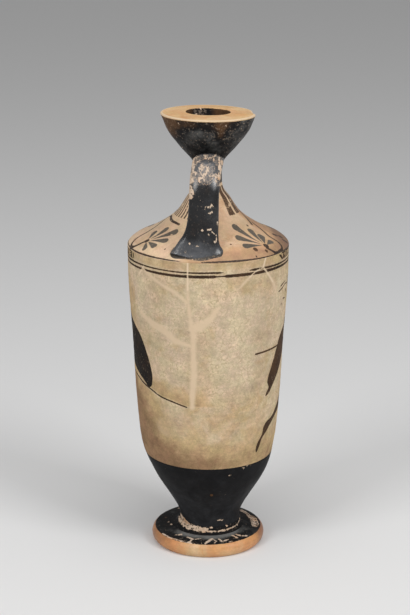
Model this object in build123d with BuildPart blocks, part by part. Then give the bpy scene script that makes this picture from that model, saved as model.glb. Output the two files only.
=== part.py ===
"""A lekythos: a slender oil flask of thrown clay sections, luted together, with a strap handle.

Millimetres. Z is the throwing axis, the foot stands on Z = 0 and the handle rises at -Y.
"""
import os

from build123d import *

# Clay and joints
wall = 4.2
slip_thickness = 0.4
luting_gap = 0.2

# Foot: a disc with a rolled edge, hollowed below
foot_radius = 32.4
foot_roll_height = 4.6
foot_standing_radius = 30.3
foot_top_radius = 30.1
foot_edge_height = 8.1
foot_height = 10.0
foot_hollow_radius = 20.0
foot_hollow_depth = 2.5
stem_socket_depth = 1.5

# Ring of clay that covers the joint of stem and foot, and the flat land round it
ring_radius = 18.6
ring_height = 3.0
ring_land = 0.4
ring_bulge, ring_bulge_height = 0.8, 0.65

# Body: a stem that opens in a taper to a tall wall
stem_radius = 17.1
stem_height = 3.5
taper_height = 42.1
border_radius = 36.6
wall_height = 120.4
body_radius = 44.85
floor_radius = 12.0
floor_height = 15.5

# Shoulder: a low cone with a soft edge, whose lip hangs inside the body
shoulder_height = 27.0
collar_radius = 11.7
lip_depth = 4.0
lip_wall = 2.8

# Neck: a tube with a spigot at each end
neck_height = 21.5
neck_radius = 7.5
neck_bore_radius = 4.6
spigot_radius = 6.8
spigot_length = 4.0

# Mouth: a thick cup with a broad top
mouth_height = 25.5
mouth_base_radius = 9.6
mouth_radius = 26.4
mouth_opening_radius = 12.1
rim_fall = 0.9
rim_round = 0.5
opening_round = 0.8

# Handle: a strap from the neck, over an arch and down to a flared root on the shoulder
handle_width = 16.2
handle_thickness = 7.4
handle_roundness = 0.46
handle_root_width = 29.0
handle_neck_drop = 6.5
handle_arch_reach = 20.0
handle_arch_rise = 2.0
handle_bend_reach = 32.0
handle_strap_reach = 36.0
handle_root_inset = 6.2
handle_lean = 6.2

# Levels of the joints, from the standing face up
stem_base = foot_height - stem_socket_depth
stem_top = foot_height + stem_height
floor_level = foot_height + floor_height
border_level = stem_top + taper_height
shoulder_level = border_level + wall_height
neck_level = shoulder_level + shoulder_height
mouth_level = neck_level + neck_height
opening_level = mouth_level + mouth_height
rim_level = opening_level - rim_fall

# Radii that fit inside one another
clay_radius = body_radius - slip_thickness
lip_radius = clay_radius - wall - luting_gap
lip_inner_radius = lip_radius - lip_wall
socket_radius = spigot_radius + luting_gap

# Curves of the outlines, as shares of the way across and the way up between their two ends
taper_curve = [(0, 0), (0.22, 0.29), (0.705, 0.66), (1, 1)]
wall_curve = [(0, 0), (0.40, 0.19), (0.55, 0.33), (0.69, 0.53), (0.98, 0.87), (1, 1)]
cavity_curve = [(0, 0), (0.46, 0.27), (0.69, 0.53), (1, 1)]
shoulder_curve = [(0, 0), (0.039, 0.083), (0.297, 0.26), (0.621, 0.482), (0.862, 0.74), (1, 1)]
neck_curve = [(0, 0), (0.70, 0.36), (1, 1)]
mouth_curve = [(0, 0), (0.19, 0.142), (0.50, 0.386), (0.762, 0.63), (0.922, 0.874), (1, 1)]
funnel_curve = [(0, 0), (0.55, 0.22), (0.86, 0.60), (1, 1)]

# The handle below its arch: share of the lean and share of the drop at the bend and on the strap
bend_lean, bend_drop = 0.30, 0.19
strap_lean, strap_drop = 0.45, 0.59

# Sections of the handle: share of the way along it, share of its width, share of the root's flare
handle_sections = [
    (0.0, 0.76, 0),
    (0.10, 0.92, 0),
    (0.20, 1.02, 0),
    (0.32, 1.02, 0),
    (0.46, 0.99, 0),
    (0.60, 0.99, 0),
    (0.73, 1.0, 0.05),
    (0.82, 1.0, 0.19),
    (0.89, 1.0, 0.52),
    (1.0, 1.0, 1.0),
]


def between(curve, start, end, outset=0.0):
    """Points of a curve between two (radius, height) ends, moved out from the axis."""
    return [
        (start[0] + (end[0] - start[0]) * across + outset, start[1] + (end[1] - start[1]) * up)
        for across, up in curve
    ]


def wall_points(outset=0.0):
    return between(wall_curve, (border_radius, border_level), (body_radius, shoulder_level), outset)


def shoulder_points(outset=0.0):
    return between(shoulder_curve, (body_radius, shoulder_level), (collar_radius, neck_level), outset)


def neck_points(outset=0.0):
    """From the collar in to the slim middle and out again to the base of the mouth."""
    slim_level = neck_level + neck_height / 2
    points = between(neck_curve, (collar_radius, neck_level), (neck_radius, slim_level), outset)
    return points + [(mouth_base_radius + outset, mouth_level)]


def mouth_points(outset=0.0):
    return between(mouth_curve, (mouth_base_radius, mouth_level), (mouth_radius, rim_level), outset)


# Slopes at the ends of the outlines, as (across, up)
roll_slopes = ((1, 0.7), (-1, 0.5))
upright = (0, 1)
collar_slope = (-0.7, 1)
cup_slope = (0.75, 1)
rim_slope = (0.4, 1)
border_slope = (0.27, 1)
floor_slope = (1, 0.2)

os.makedirs("parts", exist_ok=True)

# Foot
with BuildPart() as foot:
    land_radius = ring_radius + ring_land
    with BuildSketch(Plane.XZ):
        with BuildLine():
            Polyline(
                (0, stem_base),
                (0, foot_hollow_depth),
                (foot_hollow_radius, 0),
                (foot_standing_radius, 0),
            )
            Spline(
                (foot_standing_radius, 0),
                (foot_radius, foot_roll_height),
                (foot_top_radius, foot_edge_height),
                tangents=roll_slopes,
            )
            Polyline(
                (foot_top_radius, foot_edge_height),
                (land_radius, foot_height),
                (stem_radius + luting_gap, foot_height),
                (stem_radius + luting_gap, stem_base),
                (0, stem_base),
            )
        make_face()
    revolve(axis=Axis.Z)
foot.part.label = "foot"
export_step(foot.part, "parts/foot.step")

# Ring at the stem
with BuildPart() as stem_ring:
    ring_inner = stem_radius + luting_gap
    ring_width = ring_radius - ring_inner
    ring_top = foot_height + ring_height
    with BuildSketch(Plane.XZ):
        with BuildLine():
            Polyline((ring_inner, ring_top), (ring_inner, foot_height), (ring_radius, foot_height))
            ThreePointArc(
                (ring_radius, foot_height),
                (ring_inner + ring_width * ring_bulge, foot_height + ring_height * ring_bulge_height),
                (ring_inner, ring_top),
            )
        make_face()
    revolve(axis=Axis.Z)
stem_ring.part.label = "stem_ring"
export_step(stem_ring.part, "parts/stem_ring.step")

# Body
with BuildPart() as body:
    cavity_radius = border_radius - slip_thickness - wall
    with BuildSketch(Plane.XZ):
        with BuildLine():
            Polyline((0, floor_level), (0, stem_base), (stem_radius, stem_base), (stem_radius, stem_top))
            Spline(
                *between(taper_curve, (stem_radius, stem_top), (border_radius, border_level)),
                tangents=(upright, border_slope),
            )
            Line((border_radius, border_level), (border_radius - slip_thickness, border_level))
            Spline(*wall_points(-slip_thickness), tangents=(border_slope, upright))
            Line((clay_radius, shoulder_level), (clay_radius - wall, shoulder_level))
            Spline(*wall_points(-slip_thickness - wall), tangents=(border_slope, upright))
            Spline(
                *between(cavity_curve, (floor_radius, floor_level), (cavity_radius, border_level)),
                tangents=(floor_slope, border_slope),
            )
            Line((floor_radius, floor_level), (0, floor_level))
        make_face()
    revolve(axis=Axis.Z)
body.part.label = "body"
export_step(body.part, "parts/body.step")

# White ground: the coat of pale slip on the body's wall
with BuildPart() as white_ground:
    with BuildSketch(Plane.XZ):
        with BuildLine():
            Spline(*wall_points(), tangents=(border_slope, upright))
            Line((body_radius, shoulder_level), (clay_radius, shoulder_level))
            Spline(*wall_points(-slip_thickness), tangents=(border_slope, upright))
            Line((border_radius - slip_thickness, border_level), (border_radius, border_level))
        make_face()
    revolve(axis=Axis.Z)
white_ground.part.label = "white_ground"
export_step(white_ground.part, "parts/white_ground.step")

# Shoulder
with BuildPart() as shoulder:
    socket_level = neck_level - spigot_length
    throat_level = socket_level - wall
    with BuildSketch(Plane.XZ):
        with BuildLine():
            Spline(*shoulder_points(), tangents=(upright, collar_slope))
            Polyline(
                (collar_radius, neck_level),
                (socket_radius, neck_level),
                (socket_radius, socket_level),
                (neck_bore_radius, socket_level),
                (neck_bore_radius, throat_level),
            )
            Spline(
                *between(
                    shoulder_curve,
                    (lip_inner_radius, shoulder_level),
                    (neck_bore_radius, throat_level),
                ),
                tangents=(upright, collar_slope),
            )
            Polyline(
                (lip_inner_radius, shoulder_level),
                (lip_inner_radius, shoulder_level - lip_depth),
                (lip_radius, shoulder_level - lip_depth),
                (lip_radius, shoulder_level),
                (body_radius, shoulder_level),
            )
        make_face()
    revolve(axis=Axis.Z)
shoulder.part.label = "shoulder"
export_step(shoulder.part, "parts/shoulder.step")

# Neck
with BuildPart() as neck:
    with BuildSketch(Plane.XZ):
        with BuildLine():
            Polyline(
                (mouth_base_radius, mouth_level),
                (spigot_radius, mouth_level),
                (spigot_radius, mouth_level + spigot_length),
                (neck_bore_radius, mouth_level + spigot_length),
                (neck_bore_radius, neck_level - spigot_length),
                (spigot_radius, neck_level - spigot_length),
                (spigot_radius, neck_level),
                (collar_radius, neck_level),
            )
            Spline(*neck_points(), tangents=(collar_slope, cup_slope))
        make_face()
    revolve(axis=Axis.Z)
neck.part.label = "neck"
export_step(neck.part, "parts/neck.step")

# Mouth
with BuildPart() as mouth:
    funnel_level = mouth_level + spigot_length
    with BuildSketch(Plane.XZ):
        with BuildLine():
            Spline(*mouth_points(), tangents=(cup_slope, rim_slope))
            Line((mouth_radius, rim_level), (mouth_opening_radius, opening_level))
            Spline(
                *between(
                    funnel_curve,
                    (neck_bore_radius, funnel_level),
                    (mouth_opening_radius, opening_level),
                )
            )
            Polyline(
                (neck_bore_radius, funnel_level),
                (socket_radius, funnel_level),
                (socket_radius, mouth_level),
                (mouth_base_radius, mouth_level),
            )
        make_face()
    revolve(axis=Axis.Z)
    fillet(mouth.edges().sort_by(Axis.Z)[-1], opening_round)
    fillet(mouth.edges().filter_by(GeomType.CIRCLE).sort_by(SortBy.RADIUS)[-1], rim_round)
mouth.part.label = "mouth"
export_step(mouth.part, "parts/mouth.step")

# Handle: sections along its path, cut back to the shoulder, neck and mouth that it is luted to
arch_level = mouth_level + handle_arch_rise
arch_drop = arch_level - shoulder_level
root_reach = body_radius - handle_root_inset
with BuildLine() as handle_path:
    Spline(
        (0, -neck_radius / 2, mouth_level - handle_neck_drop),
        (0, -handle_arch_reach, arch_level),
        (-handle_lean * bend_lean, -handle_bend_reach, arch_level - arch_drop * bend_drop),
        (-handle_lean * strap_lean, -handle_strap_reach, arch_level - arch_drop * strap_drop),
        (-handle_lean, -root_reach, shoulder_level),
    )

with BuildPart() as handle:
    root_spread = handle_root_width - handle_width
    for station, narrowing, flare in handle_sections:
        place = Plane(
            origin=handle_path.line @ station,
            x_dir=(1, 0, 0),
            z_dir=handle_path.line % station,
        )
        with BuildSketch(place):
            RectangleRounded(
                handle_width * narrowing + root_spread * flare,
                handle_thickness,
                handle_thickness * handle_roundness,
            )
    loft()
    with BuildSketch(Plane.XZ):
        with BuildLine():
            Spline(*shoulder_points(luting_gap), tangents=(upright, collar_slope))
            Spline(*neck_points(luting_gap), tangents=(collar_slope, cup_slope))
            Spline(*mouth_points(luting_gap), tangents=(cup_slope, rim_slope))
            Polyline(
                (mouth_radius + luting_gap, rim_level),
                (0, rim_level),
                (0, shoulder_level - handle_thickness),
                (body_radius + luting_gap, shoulder_level - handle_thickness),
                (body_radius + luting_gap, shoulder_level),
            )
        make_face()
    revolve(axis=Axis.Z, mode=Mode.SUBTRACT)
handle.part.label = "handle"
export_step(handle.part, "parts/handle.step")
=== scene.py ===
"""A white-ground lekythos: thrown sections with slip, black gloss, painted ornament, mends and wear."""

import math

import bmesh
import bpy
import numpy as np
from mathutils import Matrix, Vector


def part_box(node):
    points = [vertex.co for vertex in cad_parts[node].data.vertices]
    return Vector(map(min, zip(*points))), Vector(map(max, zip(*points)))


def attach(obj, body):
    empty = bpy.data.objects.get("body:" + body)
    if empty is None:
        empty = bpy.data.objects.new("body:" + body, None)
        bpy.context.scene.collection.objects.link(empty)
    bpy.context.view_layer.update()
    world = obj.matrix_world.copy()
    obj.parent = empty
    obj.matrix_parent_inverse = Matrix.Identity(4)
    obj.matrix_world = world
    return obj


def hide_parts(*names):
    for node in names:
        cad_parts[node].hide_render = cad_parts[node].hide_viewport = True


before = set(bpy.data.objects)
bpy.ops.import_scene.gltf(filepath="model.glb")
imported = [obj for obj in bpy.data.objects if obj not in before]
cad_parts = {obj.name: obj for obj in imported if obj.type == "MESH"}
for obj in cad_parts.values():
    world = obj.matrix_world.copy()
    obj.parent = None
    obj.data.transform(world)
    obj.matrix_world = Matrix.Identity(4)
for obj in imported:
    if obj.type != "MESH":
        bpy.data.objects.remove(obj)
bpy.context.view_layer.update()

# A millimetre in metres, what paint fields hold far from paint and well inside it, and all points of a piece
MM = 0.001
FAR = -9.0
COVERED = 5.0
ALL = slice(None)


def limits(node):
    """Lowest and highest corner of a CAD node in millimetres."""
    low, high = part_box(node)
    return np.array(low) / MM, np.array(high) / MM


# Levels and radii of the CAD pieces, in millimetres from the standing face
white_low, white_high = limits("white_ground")
shoulder_low, shoulder_high = limits("shoulder")
neck_low, neck_high = limits("neck")
mouth_low, mouth_high = limits("mouth")
foot_radius = limits("foot")[1][0]
ring_level = limits("stem_ring")[1][2]
stem_base = limits("body")[0][2]
border_level, shoulder_level = white_low[2], white_high[2]
body_radius = white_high[0]
neck_level = shoulder_high[2]
mouth_level, opening_level = mouth_low[2], mouth_high[2]
mouth_radius = mouth_high[0]

# Other sizes of the sections
wall_thickness = 4.2
slip_thickness = 0.4
luting_gap = 0.2
foot_standing_radius = 30.3
foot_roll_level = 4.6
foot_top_radius = 30.1
foot_edge_level = 8.1
foot_top_middle = (25, 8.75)
foot_hollow_radius = 20.0
foot_hollow_slope = 4.0
foot_hollow_depth = 2.5
hub_radius = 4.0
ring_spread = 20.8
ring_seat = 9.1
stem_radius = 17.1
stem_level = 13.5
stem_lean = 1.05
border_radius = 36.6
floor_radius = 12.0
floor_level = 25.5
cavity_bend_radius = 27.0
cavity_bend_depth = 16.0
collar_radius = 11.7
lip_radius = 40.0
lip_thickness = 2.8
neck_radius = 7.5
bore_radius = 4.6
spigot_radius = 6.8
spigot_length = 4.0
socket_radius = 7.0
mouth_base_radius = 9.6
mouth_opening_radius = 12.1
rim_fall = 0.9
mouth_lean = 0.017
rim_chip_depth, rim_chip_fall = 1.3, 0.5

# Handle: the strap's middle line, and its width at shares of the way from neck to shoulder
handle_path = [
    (0, -3.75, 218), (0, -20, 226.5), (-1.86, -32, 216.9), (-2.79, -36, 196.7), (-6.2, -38.65, 176)]
handle_widths = [
    (0, 12.4), (0.1, 14.9), (0.2, 16.5), (0.32, 16.5), (0.46, 16.1), (0.6, 16), (0.73, 16.8), (0.82, 18.6),
    (0.89, 22.9), (1, 29)]
handle_thickness = 7.4
handle_squareness = 2.25
handle_start, handle_end, handle_lower_part = 0.03, 0.985, 0.6
root_spread, root_reach, seat_depth = 1.1, 3.5, 0.25

# Points round each piece, and along and round the strap
foot_columns, ring_columns, body_columns = 480, 320, 400
wall_columns, neck_columns, mouth_columns = 720, 240, 400
stations, around = 150, 80


# Curves
def spline(points, count, first=None, last=None):
    """Points along a smooth curve through the given points, with the end directions where they are given."""
    points = np.array(points, float)
    steps = np.linalg.norm(np.diff(points, axis=0), axis=1)
    knots = np.concatenate([[0], np.cumsum(steps)])
    size = len(points)
    system = np.zeros((size, size))
    right = np.zeros_like(points)
    for i in range(1, size - 1):
        before, after = steps[i - 1], steps[i]
        system[i, i - 1:i + 2] = after, 2 * (before + after), before
        right[i] = 3 * (after * (points[i] - points[i - 1]) / before
                        + before * (points[i + 1] - points[i]) / after)
    for end, slope, beside, step in ((0, first, 1, steps[0]), (size - 1, last, size - 2, steps[-1])):
        system[end, end] = 1 if slope is not None else 2
        if slope is not None:
            right[end] = np.array(slope, float) / np.linalg.norm(slope)
        else:
            system[end, beside] = 1
            right[end] = 3 * (points[max(end, beside)] - points[min(end, beside)]) / step
    slopes = np.linalg.solve(system, right)
    where = np.linspace(0, knots[-1], count)
    span = np.clip(np.searchsorted(knots, where, side="right") - 1, 0, size - 2)
    length = steps[span][:, None]
    t = ((where - knots[span]) / steps[span])[:, None]
    start, stop = points[span], points[span + 1]
    return ((1 + 2 * t) * (1 - t) ** 2 * start + t * (1 - t) ** 2 * length * slopes[span]
            + t * t * (3 - 2 * t) * stop + t * t * (t - 1) * length * slopes[span + 1])


def between(start, end, shares, count, first, last):
    """A curve from start to end through shares of the way across and up."""
    start, end = np.array(start, float), np.array(end, float)
    return spline([start + (end - start) * np.array(share) for share in shares], count, first, last)


def straight(start, end, count):
    """Points along a straight line."""
    return np.linspace(start, end, count)


def chain(*pieces):
    """One run of points from several, without doubled ones."""
    points = np.concatenate([np.atleast_2d(np.array(piece, float)) for piece in pieces])
    apart = np.linalg.norm(np.diff(points, axis=0), axis=1) > 1e-3
    return points[np.concatenate([[True], apart])]


upright = (0, 1)
border_slope = (0.27, 1)
collar_slope = (-0.7, 1)
cup_slope = (0.75, 1)
rim_slope = (0.4, 1)
taper_shares = [(0, 0), (0.22, 0.29), (0.705, 0.66), (1, 1)]
wall_shares = [(0, 0), (0.4, 0.19), (0.55, 0.33), (0.69, 0.53), (0.98, 0.87), (1, 1)]
shoulder_shares = [(0, 0), (0.039, 0.083), (0.297, 0.26), (0.621, 0.482), (0.862, 0.74), (1, 1)]
neck_share = (0.7, 0.36)
mouth_shares = [(0, 0), (0.19, 0.142), (0.5, 0.386), (0.762, 0.63), (0.922, 0.874), (1, 1)]
funnel_shares = [(0, 0), (0.55, 0.22), (0.86, 0.6), (1, 1)]

rim_level = opening_level - rim_fall
seat_level = mouth_level + spigot_length
border, corner = (border_radius, border_level), (body_radius, shoulder_level)
collar, cup = (collar_radius, neck_level), (mouth_base_radius, mouth_level)
taper_curve = between((stem_radius, stem_level), border, taper_shares, 70, upright, border_slope)
wall_curve = between(border, corner, wall_shares, 290, border_slope, upright)
shoulder_curve = between(corner, collar, shoulder_shares, 140, upright, collar_slope)
neck_waist = (neck_radius, (neck_level + mouth_level) / 2)
neck_bend = np.array(collar) + np.array(neck_share) * (np.array(neck_waist) - collar)
neck_curve = spline([collar, neck_bend, neck_waist, cup], 44, collar_slope, cup_slope)
mouth_curve = between(cup, (mouth_radius, rim_level), mouth_shares, 80, cup_slope, rim_slope)
funnel_curve = between((bore_radius, seat_level), (mouth_opening_radius, opening_level), funnel_shares, 40,
                       None, None)


# Shares from zero to one, smooth at both ends
def rises(values, low, high):
    """Zero below low, one above high."""
    share = np.clip((values - low) / (high - low), 0, 1)
    return share * share * (3 - 2 * share)


def falls(values, low, high):
    """One below low, zero above high."""
    return rises(-values, -high, -low)


def near(values, middle, close, far):
    """One within close of a middle, zero beyond far."""
    return falls(np.abs(values - middle), close, far)


def flank(azimuth, low, high):
    """Rises from low to high degrees on one side of a piece, and falls again toward its back."""
    return rises(azimuth, low, high) * falls(azimuth, 125, 170)


# Hand-made unevenness, the same for every piece
def waves(azimuth, times, offset=0):
    """Ripples round a piece."""
    return np.sin(np.radians(azimuth * times + offset))


def wobble(azimuth, level):
    """Millimetres that the thrown surface stands out at an angle in radians and a level."""
    slow = 0.10 * np.sin(2 * azimuth + 0.7 + level * 0.011) + 0.06 * np.sin(3 * azimuth - 1.1 + level * 0.023)
    rings = 0.025 * np.sin(level * 1.15 + 0.4 * np.sin(azimuth)) + 0.02 * np.sin(level * 0.47 + 1.3)
    return slow + rings


def leaning(level):
    """Millimetres that stem and taper stand to the right of the axis at a level."""
    return stem_lean * rises(level, 8.5, 12) * falls(level, 44, 62)


class Surface:
    """The points and faces of a turned or lofted piece, with the fields that its finish is painted from."""

    def __init__(self, points, faces):
        self.points = points
        self.faces = faces
        self.x, self.y, self.z = points.T
        self.radius = np.hypot(self.x, self.y)
        self.azimuth = np.degrees(np.arctan2(self.x, -self.y))
        plain = {"ink": FAR, "tone": 0.3, "wear": 0.0, "bare": FAR, "mend": FAR, "stain": 0.0}
        self.fields = {name: np.full(len(points), value) for name, value in plain.items()}

    def fill(self, places, **values):
        """Sets fields at some of the points."""
        for name, value in values.items():
            self.fields[name][places] = value

    def chip(self, mark):
        """Bares the clay where a mark lies."""
        self.fields["bare"] = np.maximum(self.fields["bare"], mark)


def make_piece(name, surface, node, material):
    """A closed mesh with its painted fields, in place of a CAD node."""
    mesh = bpy.data.meshes.new(name)
    mesh.from_pydata((surface.points * MM).tolist(), [], surface.faces)
    for field, values in surface.fields.items():
        mesh.attributes.new(field, "FLOAT", "POINT").data.foreach_set("value", values.astype(np.float32))
    shell = bmesh.new()
    shell.from_mesh(mesh)
    bmesh.ops.recalc_face_normals(shell, faces=shell.faces)
    shell.to_mesh(mesh)
    shell.free()
    mesh.polygons.foreach_set("use_smooth", [True] * len(mesh.polygons))
    mesh.materials.append(material)
    piece = bpy.data.objects.new(name, mesh)
    bpy.context.scene.collection.objects.link(piece)
    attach(piece, "root")
    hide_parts(node)
    return piece


def woven(rows, columns, closed):
    """Faces between rows of points round an axis, the last row joined to the first where it is closed."""
    faces = []
    for row in range(rows if closed else rows - 1):
        above = (row + 1) % rows
        for column in range(columns):
            beside = (column + 1) % columns
            faces.append((row * columns + column, row * columns + beside,
                          above * columns + beside, above * columns + column))
    return faces


def capped(rows, columns):
    """Faces from a point at each end to the first and the last row."""
    return [(rows * columns + number, row * columns + column, row * columns + (column + 1) % columns)
            for number, row in enumerate((0, rows - 1)) for column in range(columns)]


def turned(section, columns, loop, lean=0.0):
    """A surface of revolution: a loop of section points, or a section from axis to axis."""
    inner = section if loop else section[1:-1]
    turn = np.arange(columns) * 2 * np.pi / columns
    radius = inner[:, :1] + wobble(turn[None, :], inner[:, 1:])
    level = np.broadcast_to(inner[:, 1:], radius.shape)
    shift = lean * leaning(level)
    points = np.stack([shift + radius * np.sin(turn), -radius * np.cos(turn), level], -1).reshape(-1, 3)
    faces = woven(len(inner), columns, loop)
    if not loop:
        points = np.concatenate([points, [[0, 0, section[0, 1]], [0, 0, section[-1, 1]]]])
        faces += capped(len(inner), columns)
    return Surface(points, faces)


# Painted shapes: distance in millimetres to the edge, positive inside
def dot(x, y, place, half):
    """A round dot."""
    return half - np.hypot(x - place[0], y - place[1])


def stroke(x, y, start, end, start_half, end_half):
    """A straight brush stroke with round ends."""
    run, climb = end[0] - start[0], end[1] - start[1]
    share = np.clip(((x - start[0]) * run + (y - start[1]) * climb) / (run * run + climb * climb), 0, 1)
    return (start_half + (end_half - start_half) * share
            - np.hypot(x - start[0] - share * run, y - start[1] - share * climb))


def about(x, y, points):
    """Which places lie about a run of points."""
    low, high = np.min(points, axis=0) + FAR, np.max(points, axis=0) - FAR
    return (x > low[0]) & (x < high[0]) & (y > low[1]) & (y < high[1])


def trail(x, y, course):
    """A brush trail along points of place and half width."""
    course = np.array(course, float)
    best = np.full(x.shape, FAR)
    close = about(x, y, course[:, :2])
    for start, end in zip(course[:-1], course[1:]):
        mark = stroke(x[close], y[close], start[:2], end[:2], start[2], end[2])
        best[close] = np.maximum(best[close], mark)
    return best


def line(x, y, points, half):
    """A brush line along points, of one half width or one at each end."""
    first, last = half if isinstance(half, tuple) else (half, half)
    return trail(x, y, np.column_stack([points, np.linspace(first, last, len(points))]))


def limb(x, y, course):
    """A smooth brush trail through points of place and half width."""
    return trail(x, y, spline(course, 6 * len(course)))


def region(x, y, points):
    """A filled shape inside a smooth outline."""
    outline = spline(list(points) + [points[0]], 6 * len(points))[:-1]
    best = np.full(x.shape, FAR)
    close = about(x, y, outline)
    px, py = x[close], y[close]
    inside = np.zeros(px.shape, bool)
    nearest = np.full(px.shape, -FAR)
    for (ax, ay), (bx, by) in zip(outline, np.roll(outline, -1, axis=0)):
        nearest = np.minimum(nearest, -stroke(px, py, (ax, ay), (bx, by), 0, 0))
        crosses = (ay > py) != (by > py)
        inside ^= crosses & (px < ax + (py - ay) * (bx - ax) / (by - ay if by != ay else 1e-9))
    best[close] = np.where(inside, nearest, -nearest)
    return best


def unrolled(course, degree):
    """A course whose angles are turned to millimetres, so many for a degree."""
    return [(angle * degree, *rest) for angle, *rest in course]


def plan(azimuth, radius):
    """A place seen from above, across and toward the handle."""
    return radius * math.sin(math.radians(azimuth)), radius * math.cos(math.radians(azimuth))


class Brush:
    """The paint on a set of places: how far inside it each lies, and its tone."""

    def __init__(self, count, tone):
        self.ink = np.full(count, FAR)
        self.tone = np.full(count, tone)

    def put(self, shape, tone):
        """Paints a shape in a tone."""
        self.tone[shape > np.maximum(self.ink, -0.6)] = tone
        self.ink = np.maximum(self.ink, shape)

    def scratch(self, shape):
        """Takes the paint off a shape."""
        self.ink = np.minimum(self.ink, -shape)


# Tones of the gloss: below zero a grey film of painted sheen, at zero black, at one a thin brown
leaf_painted_sheen = -0.8
root_painted_sheen = -0.45
solid_black = 0.2
dense_black = 0.3
line_brown = 0.45
staff_brown = 0.5
thin_brown = 0.6
bar_brown = 0.85

# Half widths of the brush lines, in millimetres, with two values where a line widens
key_half, key_end_half = 0.3, 0.6
fold_half, muscle_half = 0.27, 0.22
spear_half, staff_halves = 0.52, (0.42, 0.6)
tendril_halves, heart_half = (0.6, 0.74), 1.6

# Wall: millimetres along it for a degree, levels of the lines, and the middle angles of what is painted
mean_radius_share = 0.96
ARC = body_radius * mean_radius_share * math.pi / 180
corner_line, upper_line, lower_line = 176.6, 170.6, 168.5
right_figure, left_figure, tree_angle, key_angle = 51, -47, 176, 178
left_shift, left_lift = 4, 1.5
key_step, key_count = 6.4, 27

# Staff of the left figure, in millimetres from its middle angle and levels, and spear of the right one
staff = [
    (-22.8, 93.3), (-15, 95.2), (-5.4, 97), (2, 99.5), (10.4, 101.4), (16.1, 103), (26.7, 104.7), (70, 110)]
spear = [(-10, 121.9), (8, 122.2), (66, 124.5)]
spear_tip = (71, 124.8)


def along(azimuth, middle):
    """Millimetres along the wall from a middle angle."""
    return ((azimuth - middle + 180) % 360 - 180) * ARC


def edge_line(azimuth, level):
    """The thin line round the shoulder's corner, rubbed faint under the handle."""
    sway = 0.3 * waves(azimuth, 3, 20) + 0.18 * waves(azimuth, 7)
    half = 0.36 + 0.1 * waves(azimuth, 5) - 0.5 * near(azimuth, -12, 5, 9)
    return half - np.abs(level - corner_line + 0.3 * waves(azimuth, 1) - 0.5 * sway)


def paint_lines(brush, azimuth, level):
    """The lines round the top of the wall, and a key band on the side away from the handle."""
    sway = 0.22 * waves(azimuth, 2, 40) + 0.12 * waves(azimuth, 5)
    faded = 0.7 * near(azimuth, 20, 6.5, 14)
    worn = 0.5 * near(azimuth, 8.5, 2, 5)
    upper = np.abs(level - upper_line + 0.3 * waves(azimuth, 1) - sway)
    lower = np.abs(level - lower_line - sway * 0.7)
    brush.put(0.52 + 0.14 * waves(azimuth, 3) - faded - upper, line_brown)
    brush.put(0.72 + 0.16 * waves(azimuth, 2, 60) - worn - lower, line_brown)
    brush.put(edge_line(azimuth, level), line_brown)
    brush.put(border_level + 0.1 + 0.3 * sway - level, solid_black)

    x = along(azimuth, key_angle)
    reach = key_count * key_step / 2
    cell = (x + reach) % key_step
    hook = [(0.5, 172.2), (0.5, 175.4), (5.3, 175.4), (5.3, 173.1), (2.3, 173.1), (2.3, 174.3), (3.6, 174.3)]
    for points in (hook, [hook[0], (key_step + hook[0][0], hook[0][1])]):
        brush.put(np.where(np.abs(x) < reach, line(cell, level, points, key_half), FAR), line_brown)
    key_ends = [
        [(-79.3, 172.6), (-79.3, 174.8)], [(-69.4, 172.7), (-69, 175.2)], [(-65.8, 172.9), (-65.8, 174.8)],
        [(60.6, 174.9), (65, 172.2)], [(67.2, 175.3), (68, 172.9)], [(72.2, 175.2), (72.6, 172.8)]]
    for points in key_ends:
        brush.put(line(along(azimuth, 0), level, unrolled(points, ARC), key_end_half), line_brown)


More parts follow.
